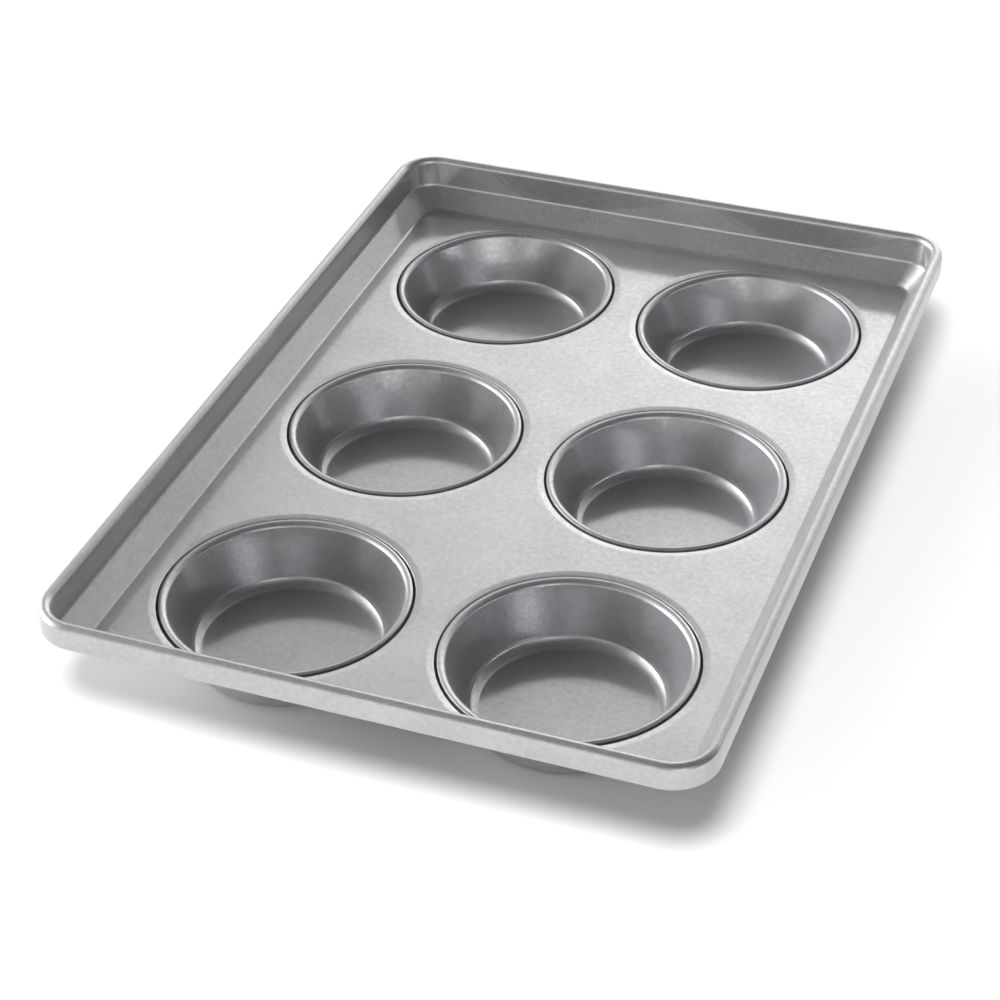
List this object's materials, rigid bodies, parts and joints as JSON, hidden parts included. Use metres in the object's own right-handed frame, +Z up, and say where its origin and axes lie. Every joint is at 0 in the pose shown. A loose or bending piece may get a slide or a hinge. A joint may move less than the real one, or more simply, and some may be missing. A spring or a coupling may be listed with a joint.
{
  "type": "hamburger bun pan",
  "caption": "Rectangular bun baking pan: a pressed steel frame with a folded, band-stiffened rim and rows of round straight-tapered cups crimped into its floor.",
  "frame": {"origin": "centre of the pan on the plane that the cup undersides stand on", "axes": "+Z up out of the cups, +Y along the long side towards the back, +X towards the right"},
  "size_m": [0.311, 0.454, 0.0557],
  "materials": {
    "tray_sheet": "aluminised steel sheet, satin",
    "cup": "aluminised steel sheet, satin",
    "rim_band": "plain mild steel strip"
  },
  "bodies": {
    "root": {"tray_sheet": "tray_sheet", "rim_band": "rim_band", "cup_front_left": "cup", "cup_front_right": "cup", "cup_middle_left": "cup", "cup_middle_right": "cup", "cup_back_left": "cup", "cup_back_right": "cup"}
  },
  "joints": []
}
